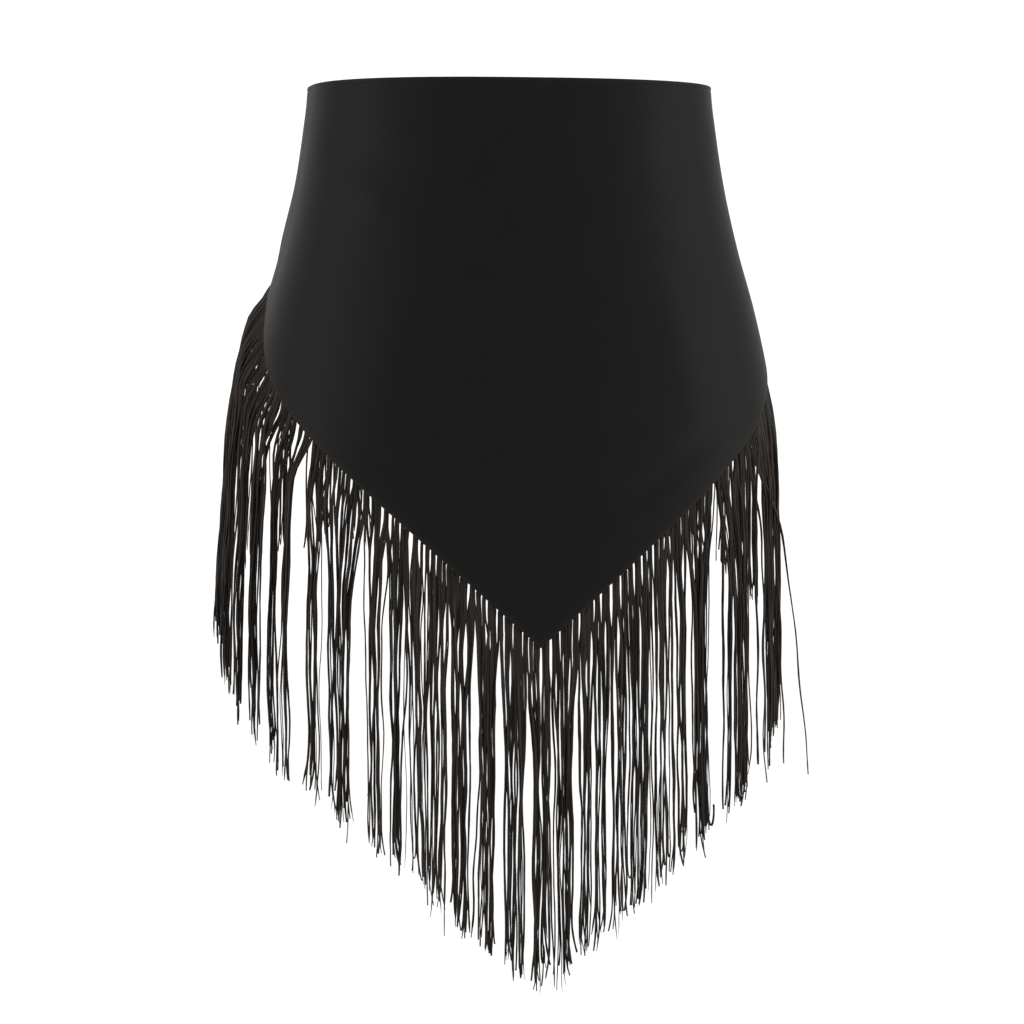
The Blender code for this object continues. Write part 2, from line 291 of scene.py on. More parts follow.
# Small sideways kinks in each cord, curled ends, and slow waves in and out.
KINKS = 2
KINK_SPOTS = (25.0, 190.0)
KINK_HEIGHT = 0.22
KINK_WIDTHS = (7.0, 14.0)
CURL = 1.1
CURL_OVER = 20.0
DEPTH_WAVE = 0.5
DEPTH_PERIODS = (50.0, 110.0)

# A few cords end in a small loop, which takes up their last closely set rings.
LOOPED_SHARE = 0.04
LOOP_TURN = 1.28 * math.pi
LOOP_WIDTHS = (0.8, 1.5)
LOOP_DEPTH = 7.0

# Single cords that leave the rest: how far round the hem one starts, how far it swings round the hips within
# STRAY_TURN, how far out it hangs at its end, and its length.
STRAY_COLUMNS = ("root", "drift", "lift", "length")
STRAY_TURN = 64.0
LEFT_STRAYS = (
    (192.0, 27.0, 20.5, 204.0),
    (196.5, 23.0, 7.0, 201.0),
    (206.0, -12.0, 2.0, 206.0),
    (185.0, 11.0, 1.0, 204.0),
    (158.0, 6.0, 1.0, 199.0),
    (152.0, 5.0, 0.5, 194.0),
)
RIGHT_STRAYS = (
    (176.0, -5.0, 1.0, 199.0),
    (183.0, -9.0, 1.0, 203.0),
    (229.0, -8.0, 1.0, 197.0),
)
STRAY_RISE = 0.5  # share of its length over which one leaves the rest

# Colours: where there are two, the dark and the light end of a range.
BLACK_CLOTH = ((0.0025, 0.0025, 0.0025, 1.0), (0.0045, 0.0044, 0.0043, 1.0))
RUBBED_CLOTH = (0.0080, 0.0077, 0.0074, 1.0)
BLACK_THREAD = ((0.0028, 0.0024, 0.0020, 1.0), (0.0150, 0.0114, 0.0088, 1.0))
BLACK_TAPE = ((0.0040, 0.0038, 0.0036, 1.0), (0.0150, 0.0140, 0.0130, 1.0))
PALE_FLOOR = (0.95, 0.945, 0.94, 1.0)

# The numbers of a mix node's colour sockets.
MIX_DARK = 6
MIX_LIGHT = 7
MIX_RESULT = 2

# Pitches of the woven and stitched threads, in metres.
WARP_PITCH = 0.00052
WEFT_PITCH = 0.00060
STITCH_PITCH = 0.0015
STITCH_SLANT = 0.0016
CHAIN_PITCH = 0.0011
ROW_PITCH = 0.0009

# The camera, in metres, level and in line with the photograph's middle.
CAMERA_AZIMUTH = -10.0
CAMERA_DISTANCE = 3.6
CAMERA_HEIGHT = -0.2545
CAMERA_ASIDE = 0.0018
FRAME_WIDTH = 0.6144  # what the photograph spans at the belt's axis
SENSOR = 36.0  # in millimetres

# The studio, in metres: a pale floor far below, and soft lights by place, width and height, power and colour.
FLOOR_HEIGHT = -1.0
FLOOR_SIZE = 60.0
FLOOR_DULL = 0.97
WHITE = (1.0, 1.0, 1.0)
WARM = (1.0, 0.96, 0.93)
ROOM_STRENGTH = 1.12
LIGHT_AIM = (0.0, 0.0, -0.25)
LIGHTS = {
    "key": ((-1.6, -2.6, 1.3), (2.2, 2.2), 8.0, WHITE),
    "left_side": ((-2.55, -0.75, 0.2), (2.0, 2.6), 118.0, WARM),
    "right_side": ((2.35, -0.95, 0.2), (1.8, 2.6), 110.0, WARM),
    "overhead": ((0.0, 0.3, 2.4), (3.0, 3.0), 20.0, WHITE),
}


def column(table, names, name):
    """A table's column, by its name."""
    return table[:, names.index(name)]


def smooth(share):
    """0 below 0, 1 above 1, and an even S between."""
    share = np.clip(share, 0.0, 1.0)
    return share * share * (3.0 - 2.0 * share)


def through(drops, values, at):
    """Values at some drops on a smooth curve through a table's rows, level beyond both ends."""
    slopes = np.zeros(len(drops))
    slopes[1:-1] = (values[2:] - values[:-2]) / (drops[2:] - drops[:-2])
    at = np.clip(at, drops[0], drops[-1])
    k = np.clip(np.searchsorted(drops, at, side="right") - 1, 0, len(drops) - 2)
    step = drops[k + 1] - drops[k]
    u = (at - drops[k]) / step
    return (
        values[k] * (1.0 + 2.0 * u) * (1.0 - u) ** 2
        + values[k + 1] * u * u * (3.0 - 2.0 * u)
        + step * slopes[k] * u * (1.0 - u) ** 2
        - step * slopes[k + 1] * u * u * (1.0 - u)
    )


def figure_size(name, drop):
    """One of the figure's sizes at a drop."""
    return through(column(FIGURE, FIGURE_COLUMNS, "drop"), column(FIGURE, FIGURE_COLUMNS, name), drop)


def section_radius(angle, drop):
    """Distance from the vertical axis to the figure: a rounded section with its own front and back depth."""
    depth = np.where(np.cos(angle) > 0.0, figure_size("front", drop), figure_size("back", drop))
    across = np.abs(np.sin(angle)) / figure_size("half_width", drop)
    along = np.abs(np.cos(angle)) / depth
    return (across**ROUNDNESS + along**ROUNDNESS) ** (-1.0 / ROUNDNESS)


def on_figure(angle, drop):
    """Points on the figure itself."""
    radius = section_radius(angle, drop)
    parts = np.broadcast_arrays(radius * np.sin(angle), -radius * np.cos(angle), -1.0 * drop)
    return np.stack(parts, axis=-1)


def outward(angle, drop):
    """The figure's outward directions."""
    around = on_figure(angle + PROBE_TURN, drop) - on_figure(angle - PROBE_TURN, drop)
    down = on_figure(angle, drop + PROBE_FALL) - on_figure(angle, np.maximum(drop - PROBE_FALL, 0.0))
    normal = np.cross(down, around)
    return normal / np.linalg.norm(normal, axis=-1, keepdims=True)


def place(angle, drop, lift):
    """Points of the worn shape, moved out by lift along the figure's normal."""
    return on_figure(angle, drop) + outward(angle, drop) * np.asarray(lift)[..., None]


def running_length(points):
    """Length along a row of points, from the first to each."""
    steps = np.linalg.norm(np.diff(points, axis=0), axis=1)
    return np.concatenate(([0.0], np.cumsum(steps)))


DEGREES = np.arange(181.0)
HIP_ARC = running_length(on_figure(np.radians(DEGREES), np.full_like(DEGREES, FIGURE[-1, 0])))


def arc_at(angle):
    """Length round the hips from the centre front, for angles of up to a little more than half a turn."""
    degrees = np.abs(np.degrees(angle))
    return np.interp(np.minimum(degrees, 360.0 - degrees), DEGREES, HIP_ARC)


def hem_drop(angle):
    """Depth of the cloth at an angle: a straight slanting hem that eases into the level back."""
    full = FRONT_DEPTH - BACK_DEPTH
    over = full - HEM_SLOPE * arc_at(angle)
    eased = (over + np.hypot(over, HEM_EASE)) / (full + math.hypot(full, HEM_EASE))
    return BACK_DEPTH + full * eased


def turn_of(length, angle):
    """The angle that a length of cloth takes up round the waist."""
    return length / section_radius(angle, 0.0)


SIDE = math.pi / 2.0
LAP_START = math.pi - turn_of(LAP_REACH, math.pi)
LAP_END = math.pi + turn_of(LAP_REACH, math.pi)
RAMP_START = LAP_START - turn_of(LAP_RAMP, math.pi)


def level(angle):
    """The lift of what lies on the figure itself."""
    return np.zeros_like(angle)


def lap_lift(angle):
    """How far the upper back panel stands out over the lower one."""
    return LAP_LIFT * smooth((angle - RAMP_START) / (LAP_START - RAMP_START))


def add_mesh(name, points, faces, corner_maps, tones, material, side):
    """A smooth-shaded mesh object with its Lay map and tones. A side of -1 mirrors it to the right."""
    if side < 0:
        points = points * np.array((-1.0, 1.0, 1.0))
        faces = [face[::-1] for face in faces]
        corner_maps = [corners[::-1] for corners in corner_maps]
    mesh = bpy.data.meshes.new(name)
    mesh.from_pydata((points * MM).tolist(), [], faces)
    layer = mesh.uv_layers.new(name="Lay")
    flat = np.array([value for corners in corner_maps for corner in corners for value in corner])
    layer.uv.foreach_set("vector", (flat * MM).astype(np.float32))
    tone = mesh.attributes.new("tone", "FLOAT", "POINT")
    tone.data.foreach_set("value", tones.astype(np.float32))
    mesh.materials.append(material)
    mesh.shade_smooth()
    obj = bpy.data.objects.new(name, mesh)
    bpy.context.scene.collection.objects.link(obj)
    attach(obj, "root")
    return obj


def rolled(reach, roll):
    """How far a face falls back near an edge, on a quarter circle."""
    inside = np.clip(roll - reach, 0.0, roll)
    return roll - np.sqrt(roll * roll - inside * inside)


def shell(name, angles, drops, reach, outer, inner, material, side):
    """A closed sheet over a grid of angles and drops. Its outer and inner lifts meet at the edges."""
    columns, rows = drops.shape
    outside = place(angles, drops, outer).reshape(-1, 3)
    inside = place(angles, drops, inner).reshape(-1, 3)
    numbers = np.arange(columns * rows).reshape(columns, rows)
    behind = numbers.copy()
    middle = np.zeros((columns, rows), bool)
    middle[1:-1, 1:-1] = True
    behind[middle] = columns * rows + np.arange(middle.sum())
    points = np.concatenate((outside, inside[middle.ravel()]))
    rub = np.exp(-reach / RUB_REACH)
    tones = np.concatenate((rub.ravel(), rub[middle]))

    round_it = np.sign(angles) * arc_at(angles)
    round_it = np.where(np.abs(angles) > math.pi, 2.0 * HIP_ARC[-1] - round_it, round_it)
    lay = np.stack((round_it, drops), axis=-1).reshape(-1, 2)
    near, far = slice(0, -1), slice(1, None)
    corners = ((near, near), (near, far), (far, far), (far, near))
    faces, corner_maps = [], []
    for grid, turned in ((numbers, 1), (behind, -1)):
        quads = np.stack([grid[c].ravel() for c in corners], axis=1)[:, ::turned]
        sources = np.stack([numbers[c].ravel() for c in corners], axis=1)[:, ::turned]
        faces.extend(quads.tolist())
        corner_maps.extend(lay[sources].tolist())
    return add_mesh(name, points, faces, corner_maps, tones, material, side)


def stepped(start, end, near, step):
    """Places from start to end, close together near both ends."""
    first = start + np.array(near)
    last = end - np.array(near)[::-1]
    parts = max(2, int(round((last[0] - first[-1]) / step)))
    return np.concatenate((first, np.linspace(first[-1], last[0], parts + 1)[1:-1], last))


def fold_lift(angles, drops):
    """The soft folds' lift at a grid of points."""
    degrees = np.degrees(angles)
    degrees = np.where(degrees > 180.0, degrees - 360.0, degrees)
    across = np.sign(degrees) * arc_at(angles)
    total = np.zeros_like(drops)
    for row in FOLDS:
        fold = dict(zip(FOLD_COLUMNS, row))
        ends = (fold["angle_from"], fold["angle_to"])
        x_from, x_to = (math.copysign(arc_at(math.radians(end)), end) for end in ends)
        run = np.array((x_to - x_from, fold["drop_to"] - fold["drop_from"]))
        length = np.linalg.norm(run)
        x, y = across - x_from, drops - fold["drop_from"]
        share = (x * run[0] + y * run[1]) / length**2
        aside = (x * run[1] - y * run[0]) / length
        width = fold["width"] * (FOLD_START + FOLD_GAIN * np.clip(share, 0.0, 1.0))
        coming = smooth((share + FOLD_OVERRUN) / FOLD_FADE_IN)
        going = smooth((1.0 + FOLD_OVERRUN - share) / FOLD_FADE_OUT)
        total += fold["height"] * np.exp(-((aside / width) ** 2)) * coming * going
    return total


def panel_grid(start, end):
    """The angles and drops of a panel's points, and how far they are from the hem and from the sides."""
    radius = section_radius(0.5 * (start + end), FIGURE[-1, 0])
    line = stepped(start * radius, end * radius, SIDE_STEPS, GRID_STEP)
    at_front = start < 0.0 < end
    if at_front:
        clear = np.abs(line) > POINT_CLEAR * GRID_STEP
        line = np.sort(np.append(line[clear], POINT_COLUMNS))
    bottom = hem_drop(line / radius)
    rows = max(2, int((FRONT_DEPTH if at_front else bottom.max()) / GRID_STEP))
    upper, lower = np.array(TOP_STEPS), np.array(HEM_STEPS)[::-1]
    drops = []
    for depth in bottom:
        between = np.linspace(upper[-1], depth - lower[0], rows)[1:-1]
        drops.append(np.concatenate((upper, between, depth - lower)))
    drops = np.array(drops)
    angles = np.repeat((line / radius)[:, None], drops.shape[1], axis=1)
    slope = np.gradient(bottom, line)[:, None]
    from_hem = (bottom[:, None] - drops) / np.hypot(1.0, slope)
    from_sides = np.minimum(line - line[0], line[-1] - line)[:, None]
    return angles, drops, from_hem, from_sides


def panel(name, start, end, lift, material, side):
    """One cloth panel between two angles, with rolled edges, a pressed line below the top and soft folds."""
    angles, drops, from_hem, from_sides = panel_grid(start, end)
    reach = np.minimum(np.minimum(drops, from_hem), from_sides)
    base = lift(angles) + fold_lift(angles * side, drops) * smooth((reach - FOLDS_FROM) / FOLDS_EASE)
    off_sides = smooth(from_sides / SIDES_FADE)
    pressed = PRESSED_DEPTH * np.exp(-(((drops - PRESSED_AT) / PRESSED_WIDTH) ** 2)) * off_sides
    turned = TURNED_THICKNESS * smooth((TURNED_DEPTH - drops) / TURNED_STEP + 0.5) * smooth(drops / TURNED_FROM)
    outer = base - rolled(reach, ROLL) - pressed
    inner = base - CLOTH + rolled(reach, ROLL) - turned * off_sides
    edge = reach <= ON_EDGE
    outer[edge] = inner[edge] = (base - ROLL)[edge]
    return shell(name, angles, drops, reach, outer, inner, material, side)


def hem_line():
    """The hem's angles, close together from the centre front to the centre back, and the length to each."""
    angles = np.linspace(0.0, math.pi, HEM_POINTS)
    return angles, running_length(on_figure(angles, hem_drop(angles)))


HEM_TURNS, HEM_LENGTHS = hem_line()


def tape(name, lift, material, side):
    """The tape behind the hem, with its rows of chain stitches raised."""
    line = stepped(TAPE_INSET, HEM_LENGTHS[-1] - TAPE_INSET, TAPE_STEPS, CORD_PITCH / 2.0)
    angles = np.interp(line, HEM_LENGTHS, HEM_TURNS)
    height = TAPE_TOP - TAPE_BOTTOM
    above = TAPE_TOP - stepped(0.0, height, TAPE_STEPS, TAPE_GRID)
    drops = hem_drop(angles)[:, None] - above[None, :]
    angles = np.repeat(angles[:, None], len(above), axis=1)
    from_edges = np.minimum(above - TAPE_BOTTOM, TAPE_TOP - above)[None, :]
    reach = np.minimum(from_edges, np.minimum(line - line[0], line[-1] - line)[:, None])

    rows = np.abs(np.sin(math.pi * TAPE_CHAINS * (above[None, :] - TAPE_BOTTOM) / height))
    stitches = 1.0 - STITCH_WAVE + STITCH_WAVE * np.cos(FULL_TURN * line / CORD_PITCH)[:, None]
    relief = TAPE_RELIEF * rows * stitches * smooth(reach / TAPE_FADE)
    face = lift(angles) - CLOTH - TAPE_GAP
    outer = face - rolled(reach, TAPE_ROLL)
    inner = outer - TAPE_THICKNESS + 2.0 * rolled(reach, TAPE_ROLL) - relief + TAPE_RELIEF
    edge = reach <= ON_EDGE
    outer[edge] = inner[edge] = (face - TAPE_THICKNESS / 2.0)[edge]
    return shell(name, angles, drops, reach, outer, inner, material, side)


def grouped(count, sizes, dice, start=0, number=0):
    """A group number for each cord from a start on, in runs of random sizes."""
    groups = np.zeros(count, int)
    while start < count:
        size = int(dice.choice(sizes))
        groups[start : start + size] = number
        start += size
        number += 1
    return groups


def middles_of(groups, across):
    """The middle of each cord's group."""
    return (np.bincount(groups, across) / np.bincount(groups))[groups]


def placed_locks(table, across, dice):
    """Each cord's lock, the middle that it draws towards, its closing and its reach: by chance at the back."""
    table = np.array(table)
    untils = column(table, LOCK_COLUMNS, "until")
    by_hand = across < untils[-1]
    first = int(by_hand.sum())
    locks = grouped(len(across), BACK_SIZES, dice, first, len(untils))
    locks[:first] = np.searchsorted(untils, across[:first], side="right")
    closing = dice.uniform(*BACK_CLOSING, locks.max() + 1)
    closing[: len(untils)] = column(table, LOCK_COLUMNS, "closing")
    reach = dice.uniform(*BACK_REACH, locks.max() + 1)
    reach[: len(untils)] = column(table, LOCK_COLUMNS, "reach")
    middles = middles_of(locks, across)
    middles[:first] = column(table, LOCK_COLUMNS, "middle")[locks[:first]]
    return locks, middles, closing[locks], reach[locks]


def crowded(lengths):
    """How crowded the cords are at lengths along the hem: 1 at the front point, fading to 0."""
    return np.exp(-((lengths / CROWDED_TO) ** 2))


class Cords:
    """The cords of one side, as arrays by cord, or by cord and ring. Each step builds on those before it.

    All steps draw from the same dice, so their order counts. Angle, drop and stand place the cords' middles.
    """

    def __init__(self, side, lift, dice):
        self.side, self.lift, self.dice = side, lift, dice
        self.count = int(HEM_LENGTHS[-1] / CORD_PITCH)
        self.place_roots()
        self.choose_lengths()
        self.choose_strays()
        self.place_rings()
        self.leave_hem()
        self.gather_in_locks()
        self.gather_in_tufts()
        self.gather_in_wisps()
        self.waver()
        self.loop_ends()
        self.stand_off()

    def draw(self, span):
        """A random value from a span for each cord, as a column."""
        return self.dice.uniform(*span, self.count)[:, None]

    def draw_for(self, groups, *spans):
        """Random values from some spans for each group, by cord."""
        return [self.dice.uniform(*span, groups.max() + 1)[groups] for span in spans]

    def some(self, share):
        """A random share of the cords."""
        return self.dice.random(self.count) < share

    def past(self, begin, reach):
        """0 down to a place on each cord, and 1 from a reach below it."""
        return smooth((self.out - begin[:, None]) / reach[:, None])

    def draw_together(self, middles, closing, where):
        """Move all but the strays towards middles, by a share of the way there."""
        self.sideways -= (closing * (self.across - middles) * self.gathers)[:, None] * where

    def place_roots(self):
        """Where the cords leave the hem, by length along it, angle and drop, and by length round the hips."""
        density = 1.0 / (1.0 - CROWDING * crowded(HEM_LENGTHS))
        held = np.concatenate(([0.0], np.cumsum(0.5 * (density[1:] + density[:-1]) * np.diff(HEM_LENGTHS))))
        roots = np.interp((np.arange(self.count) + 0.5) / self.count, held / held[-1], HEM_LENGTHS)
        self.roots = roots + self.dice.uniform(-ROOT_SCATTER, ROOT_SCATTER, self.count)
        self.root_angle = np.interp(self.roots, HEM_LENGTHS, HEM_TURNS)
        self.root_drop = hem_drop(self.root_angle)
        self.across = arc_at(self.root_angle)

    def choose_lengths(self):
        """Nearly one length for all cords, and how far a few of them wander aside."""
        length = CORD_LENGTH + self.dice.normal(0.0, LENGTH_SPREAD, self.count)
        self.length = length - self.some(SHORT_SHARE) * self.dice.uniform(*SHORT_BY, self.count)
        self.wander = self.some(WANDER_SHARE) * self.dice.normal(0.0, WANDER, self.count)

    def choose_strays(self):
        """The single cords that leave the rest, and so don't gather with their neighbours."""
        self.drift, self.raised = np.zeros(self.count), np.zeros(self.count)
        for row in LEFT_STRAYS if self.side > 0 else RIGHT_STRAYS:
            stray = dict(zip(STRAY_COLUMNS, row))
            k = int(np.argmin(np.abs(self.roots - stray["root"])))
            self.drift[k], self.raised[k], self.length[k] = stray["drift"], stray["lift"], stray["length"]
        self.gathers = self.raised == 0.0

    def place_rings(self):
        """How far along its cord each ring lies, how far below the hem's edge, and as a share of the length."""
        root, end = np.array(ROOT_STEPS), self.length[:, None] - np.array(END_STEPS)
        shares = np.linspace(0.0, 1.0, int((CORD_LENGTH - root[-1] - END_STEPS[0]) / CORD_STEP) + 1)[1:]
        run = root[-1] + (end[:, :1] - root[-1]) * shares
        self.at = np.concatenate((np.tile(root, (self.count, 1)), run, end[:, 1:]), axis=1)
        self.out = np.maximum(self.at, 0.0)
        self.part = self.out / self.length[:, None]
        self.free = smooth(self.out / FREE_AFTER)

    def leave_hem(self):
        """The cords leave the tape square to the hem, and sweep down just above its edge."""

        def eased(length):
            return SWEEP_EASE * (1.0 - np.exp(-length / SWEEP_EASE))

        slope = np.gradient(hem_drop(HEM_TURNS), HEM_TURNS) / np.gradient(HEM_LENGTHS, HEM_TURNS)
        aside = (-np.interp(self.root_angle, HEM_TURNS, slope) * smooth(self.roots / TIP_EASE))[:, None]
        down = np.sqrt(1.0 - aside**2)
        straight = np.minimum(self.at + BEND_ABOVE, 0.0)
        bent = np.maximum(self.at + BEND_ABOVE, 0.0)
        swept = eased(bent) - eased(BEND_ABOVE)
        self.sideways = aside * (swept + straight)
        fall = bent - BEND_ABOVE - (1.0 - down) * swept + down * straight
        self.drop = self.root_drop[:, None] + fall

    def gather_in_locks(self):
        """The cords draw together into locks, loosely or closely, and the locks sway and bend."""
        table = LEFT_LOCKS if self.side > 0 else RIGHT_LOCKS
        locks, middles, closing, reach = placed_locks(table, self.across, self.dice)
        begin = reach * self.draw_for(locks, LOCK_LATE)[0] + self.dice.uniform(*CORD_LATE, self.count)
        reach = reach * self.dice.uniform(*REACH_VARIES, self.count)
        loose = self.some(LOOSE_SHARE)
        loosely, closely = (self.dice.uniform(*span, self.count) for span in (LOOSE_CLOSING, HELD_CLOSING))
        self.draw_together(middles, closing * np.where(loose, loosely, closely), self.past(begin, reach))
        for size, form in ((LOCK_SWAY, self.part**SWAY_POWER), (LOCK_BEND, np.sin(math.pi * self.part))):
            self.sideways += self.dice.normal(0.0, size, locks.max() + 1)[locks][:, None] * form

    def gather_in_tufts(self):
        """Next to the hem the cords stand in tufts, with slits between them."""
        limits = np.cumsum(self.dice.uniform(*TUFT_WIDTHS, self.count))
        tufts = np.unique(np.searchsorted(limits, self.across), return_inverse=True)[1]
        closing, hold, release = self.draw_for(tufts, TUFT_CLOSING, TUFT_HOLD, TUFT_RELEASE)
        closing = closing * (1.0 - TUFT_CROWDED * crowded(self.roots))
        self.draw_together(middles_of(tufts, self.across), closing, 1.0 - self.past(hold, release))

    def gather_in_wisps(self):
        """Below the tufts the cords hang in wisps of a few."""
        self.wisps = grouped(self.count, WISP_SIZES, self.dice)
        closing, begin, reach = self.draw_for(self.wisps, WISP_CLOSING, WISP_BEGIN, WISP_REACH)
        self.draw_together(middles_of(self.wisps, self.across), closing, self.past(begin, reach))

    def waver(self):
        """What single cords do: some go aside, and all have small waves, kinks and curled ends."""
        self.sideways += self.wander[:, None] * self.part**WANDER_POWER
        self.sideways += self.drift[:, None] * smooth(self.out / STRAY_TURN)
        for periods, size, shared in SWAYS:
            period, phase = self.draw(periods), self.draw((0.0, FULL_TURN))
            height = size * self.draw(SWAY_VARIES)
            if shared:
                period, phase, height = period[self.wisps], phase[self.wisps], height[self.wisps]
            self.sideways += height * self.free * np.sin(FULL_TURN * self.out / period + phase)
        for _ in range(KINKS):
            spot = self.draw(KINK_SPOTS)
            height = self.dice.normal(0.0, KINK_HEIGHT, self.count)[:, None]
            self.sideways += height * np.tanh((self.out - spot) / self.draw(KINK_WIDTHS)) * self.free
        near_end = np.clip((self.out - self.length[:, None] + CURL_OVER) / CURL_OVER, 0.0, 1.0)
        self.sideways += self.dice.normal(0.0, CURL, self.count)[:, None] * near_end**2

    def loop_ends(self):
        """A few cords end in a small loop, from the drop where their closely set rings begin."""
        self.looped = (self.some(LOOPED_SHARE) & self.gathers)[:, None]
        loop_from = self.length[:, None] - END_STEPS[0]
        turned = np.clip((self.out - loop_from) / END_STEPS[0], 0.0, 1.0) * LOOP_TURN
        before = self.drop[:, -len(END_STEPS), None]
        self.drop = np.where(self.looped & (turned > 0.0), before + LOOP_DEPTH * np.sin(turned), self.drop)
        self.sideways += self.looped * self.draw(LOOP_WIDTHS) * (1.0 - np.cos(turned))

    def stand_off(self):
        """The cords come out of the tape into two layers, and stand off at the hips, with slow waves."""
        angle = self.root_angle[:, None]
        self.angle = angle + self.sideways / section_radius(angle, self.drop)
        root_lift = self.lift(angle) - CLOTH - TAPE_GAP - 0.5 * TAPE_THICKNESS - ROOT_DEPTH
        layer = np.where(np.arange(self.count) % 2, LAYER_STEP, -LAYER_STEP)[:, None]
        rest = CORD_LIFT + self.draw(LAYER_SPAN) + layer
        self.stand = root_lift + (rest - root_lift) * smooth(self.out / SETTLE)
        hip = "left_hip" if self.side > 0 else "right_hip"
        flare = through(column(FLARE, FLARE_COLUMNS, "drop"), column(FLARE, FLARE_COLUMNS, hip), self.drop)
        flare = flare * (1.0 + FLARE_VARIES * self.draw(FLARE_SPAN)) * np.sin(angle) ** 2
        self.stand += flare * smooth((self.drop - self.root_drop[:, None]) / FLARE_EASE)
        self.stand += self.raised[:, None] * smooth(self.part / STRAY_RISE) * self.part
        period, self.phase = self.draw(DEPTH_PERIODS), self.draw((0.0, FULL_TURN))
        self.stand += DEPTH_WAVE * self.free * np.sin(FULL_TURN * self.out / period + self.phase)

    def widths(self):
        """The cords' widths, thinner downwards, with a light ripple and tapered ends."""
        width = self.draw(CORD_WIDTHS) * np.where(self.some(THIN_SHARE), THIN_WIDTH, 1.0)[:, None]
        width = width * (1.0 - CORD_THINNING * smooth(self.part / THINNED_AT))
        width *= 1.0 + RIPPLE * np.sin(FULL_TURN * self.out / self.draw(RIPPLE_PERIODS) + self.phase)
        fine = self.some(FINE_SHARE)[:, None] & ~self.looped
        taper = self.draw(END_TAPERS)
        near_end = smooth((self.out - self.length[:, None] + taper) / taper)
        width *= 1.0 - np.where(fine, FINE_LOSS, BLUNT_LOSS) * near_end
        return np.where(self.at < 0.0, np.minimum(width, ROOT_WIDTH), width)

    def spins(self):
        """How far each ring is turned about its cord."""
        return self.draw((0.0, math.pi)) + FULL_TURN * self.draw(SPIN_TURNS) * self.part


def tube_points(middles, normals, width, spin):
    """The points round each ring, on a flattened circle that turns along the cord."""
    along = np.gradient(middles, axis=1)
    along /= np.linalg.norm(along, axis=-1, keepdims=True)
    across = np.cross(along, normals)
    across /= np.linalg.norm(across, axis=-1, keepdims=True)
    facing = np.cross(across, along)

    turns = np.arange(CORD_SIDES) * FULL_TURN / CORD_SIDES
    wide = 0.5 * width[..., None] * np.cos(turns)
    deep = 0.5 * CORD_FLATNESS * width[..., None] * np.sin(turns)
    cos, sin = np.cos(spin)[..., None], np.sin(spin)[..., None]
    u, v = wide * cos - deep * sin, wide * sin + deep * cos
    points = middles[:, :, None] + across[:, :, None] * u[..., None] + facing[:, :, None] * v[..., None]
    return points.reshape(-1, 3)


def tube_faces(at):
    """The faces of closed tubes, and their map: the share round a cord, and the length along it.

    The share is divided by MM, because add_mesh scales the whole map.
    """
    count, rings = at.shape
    numbers = np.arange(count * rings * CORD_SIDES).reshape(count, rings, CORD_SIDES)
    here, below = numbers[:, :-1], numbers[:, 1:]
    quads = np.stack((here, below, np.roll(below, -1, axis=2), np.roll(here, -1, axis=2)), axis=-1)
    side_from = np.broadcast_to(np.arange(CORD_SIDES) / (CORD_SIDES * MM), here.shape)
    side_to = side_from + 1.0 / (CORD_SIDES * MM)
    top, end = (np.broadcast_to(a[..., None], here.shape) for a in (at[:, :-1], at[:, 1:]))
    corners = np.stack((side_from, top, side_from, end, side_to, end, side_to, top), axis=-1)
    faces = quads.reshape(-1, 4).tolist()
    corner_maps = corners.reshape(-1, 4, 2).tolist()
    for cap, ring in ((numbers[:, 0, :], 0), (numbers[:, -1, ::-1], -1)):
        faces.extend(cap.tolist())
        corner_maps.extend([[(0.0, at[i, ring])] * CORD_SIDES for i in range(count)])
    return faces, corner_maps


def fringe(name, lift, material, side, seed):
    """All cords of one side, as one mesh of closed, flattened and slowly turning tubes."""
    cords = Cords(side, lift, np.random.default_rng(seed))
    middles = place(cords.angle, cords.drop, cords.stand)
    normals = outward(cords.angle, cords.drop)
    points = tube_points(middles, normals, cords.widths(), cords.spins())
    faces, corner_maps = tube_faces(cords.at)
    tones = np.repeat(cords.dice.uniform(0.0, 1.0, cords.count), cords.at.shape[1] * CORD_SIDES)
    return add_mesh(name, points, faces, corner_maps, tones, material, side)


def add_node(tree, kind, inputs=None, **settings):
    """A shader node, with its settings and with values or links for its inputs."""
    node = tree.nodes.new(kind)
    for key, value in settings.items():
        setattr(node, key, value)
    for key, value in (inputs or {}).items():
        if isinstance(value, bpy.types.NodeSocket):
            tree.links.new(value, node.inputs[key])
        else:
            node.inputs[key].default_value = value
    return node


def maths(tree, operation, *values):
    """The result of a math node, for values or links."""
    return add_node(tree, "ShaderNodeMath", dict(enumerate(values)), operation=operation).outputs[0]


def weighted(tree, first, share, second, other):
    """The sum of two values, each times its share."""
    return maths(tree, "ADD", maths(tree, "MULTIPLY", first, share), maths(tree, "MULTIPLY", second, other))


def blend_colours(tree, share, dark, light):
    """A colour between two, by a share."""
    inputs = {"Factor": share, MIX_DARK: dark, MIX_LIGHT: light}
    return add_node(tree, "ShaderNodeMix", inputs, data_type="RGBA").outputs[MIX_RESULT]


def spread_range(tree, value, low, high):
    """What runs from 0 to 1, spread from low to high instead and clipped there."""
    node = add_node(tree, "ShaderNodeMapRange", {"Value": value, "To Min": low, "To Max": high})
    return node.outputs["Result"]


def new_material(name, **sockets):
    """A material with values for its shader's sockets."""
    material = bpy.data.materials.new(name)
    material.use_nodes = True
    shader = material.node_tree.nodes["Principled BSDF"]
    for key, value in sockets.items():
        shader.inputs[key.replace("_", " ")].default_value = value
    return material, material.node_tree, shader


def object_place(tree):
    """The place on the object, in metres."""
    return add_node(tree, "ShaderNodeTexCoord").outputs["Object"]


